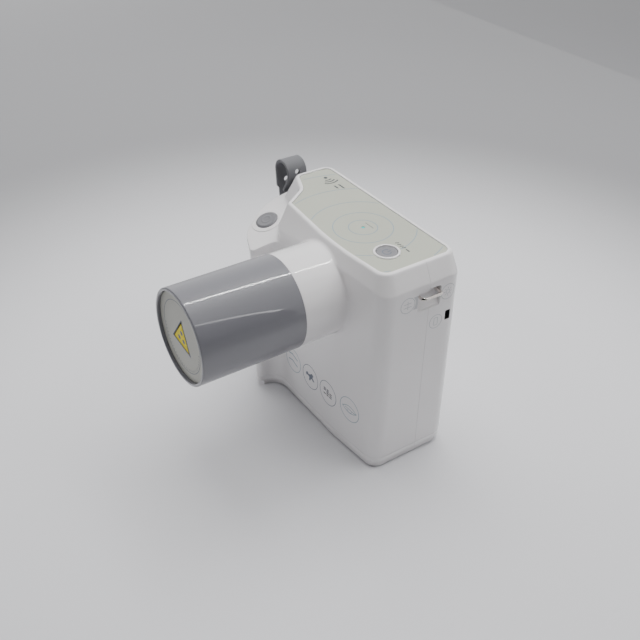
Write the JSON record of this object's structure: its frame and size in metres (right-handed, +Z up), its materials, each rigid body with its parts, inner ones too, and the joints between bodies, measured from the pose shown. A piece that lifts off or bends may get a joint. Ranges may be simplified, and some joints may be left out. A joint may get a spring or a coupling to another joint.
{
  "type": "intraoral xray unit",
  "caption": "Handheld camera-shaped dental X-ray unit: white two-part casing, grey exit cone, side grip with exposure button, hand strap and printed top panel.",
  "frame": {"origin": "on the flat underside, straight below the exit cone's axis", "axes": "+Z up, the exit cone points to -Y, the grip is at -X, the charging socket at +X"},
  "size_m": [0.1881, 0.1828, 0.1739],
  "materials": {
    "casing": "semi-gloss white ABS",
    "cone_grey": "glossy grey ABS",
    "panel_film": "matte printed film",
    "window_film": "matte printed film",
    "button_grey": "satin grey",
    "foot_rubber": "matte",
    "strap_rubber": "matte silicone",
    "plated_steel": "nickel plated",
    "black_plastic": "moulded",
    "circuit_board": "solder mask",
    "lamp": "translucent teal",
    "lead": null,
    "aluminium": "machined",
    "tank_paint": "cast, painted",
    "tube_glass": "clear",
    "copper": "bare",
    "brass": "turned",
    "ferrite": "sintered",
    "cell_wrap": "shrink wrap",
    "screen_glass": "glossy black lens"
  },
  "bodies": {
    "casing": {"anode": "copper", "base_cover": "casing", "base_feet": "foot_rubber", "base_screws": "plated_steel", "battery_cells": "cell_wrap", "battery_cradle": "black_plastic", "beam_flange": "aluminium", "board_chips": "black_plastic", "board_posts": "brass", "buzzer": "black_plastic", "cathode_cup": "plated_steel", "charge_board": "circuit_board", "charge_port": "plated_steel", "collimator": "lead", "exit_cone": "cone_grey", "exit_window": "window_film", "exposure_switch": "black_plastic", "filter_disc": "aluminium", "front_shell": "casing", "grip_board": "circuit_board", "hand_strap": "strap_rubber", "key_board": "circuit_board", "key_domes": "plated_steel", "lead_liner": "lead", "lug_pocket_left": "casing", "lug_pocket_lower": "casing", "lug_pocket_right": "casing", "main_board": "circuit_board", "panel_board": "circuit_board", "power_ring": "casing", "power_switch": "black_plastic", "rear_screws": "plated_steel", "rear_shell": "casing", "screen_module": "black_plastic", "screen_window": "screen_glass", "status_led": "lamp", "status_lens": "lamp", "strap_lug_left": "plated_steel", "strap_lug_lower": "plated_steel", "strap_lug_right": "plated_steel", "tank_body": "tank_paint", "tank_lid": "tank_paint", "top_panel": "panel_film", "transformer_coils": "copper", "transformer_core": "ferrite", "tripod_bush": "plated_steel", "tube_glass": "tube_glass"},
    "exposure_button": {"exposure_button": "button_grey"},
    "power_button": {"power_button": "button_grey"},
    "key_down": {"key_down": "button_grey"},
    "key_menu": {"key_menu": "button_grey"},
    "key_set": {"key_set": "button_grey"},
    "key_up": {"key_up": "button_grey"}
  },
  "joints": [
    {"name": "exposure_press", "type": "slide", "parent": "casing", "child": "exposure_button", "axis": [0, 0.3552, -0.9348], "range_m": [0, 0.0012], "stiffness_N_per_m": 1500},
    {"name": "power_press", "type": "slide", "parent": "casing", "child": "power_button", "axis": [0, 0, -1], "range_m": [0, 0.0008], "stiffness_N_per_m": 2000},
    {"name": "key_down_press", "type": "slide", "parent": "casing", "child": "key_down", "axis": [0, -1, 0], "range_m": [0, 0.0007], "stiffness_N_per_m": 2000},
    {"name": "key_menu_press", "type": "slide", "parent": "casing", "child": "key_menu", "axis": [0, -1, 0], "range_m": [0, 0.0007], "stiffness_N_per_m": 2000},
    {"name": "key_set_press", "type": "slide", "parent": "casing", "child": "key_set", "axis": [0, -1, 0], "range_m": [0, 0.0007], "stiffness_N_per_m": 2000},
    {"name": "key_up_press", "type": "slide", "parent": "casing", "child": "key_up", "axis": [0, -1, 0], "range_m": [0, 0.0007], "stiffness_N_per_m": 2000}
  ]
}
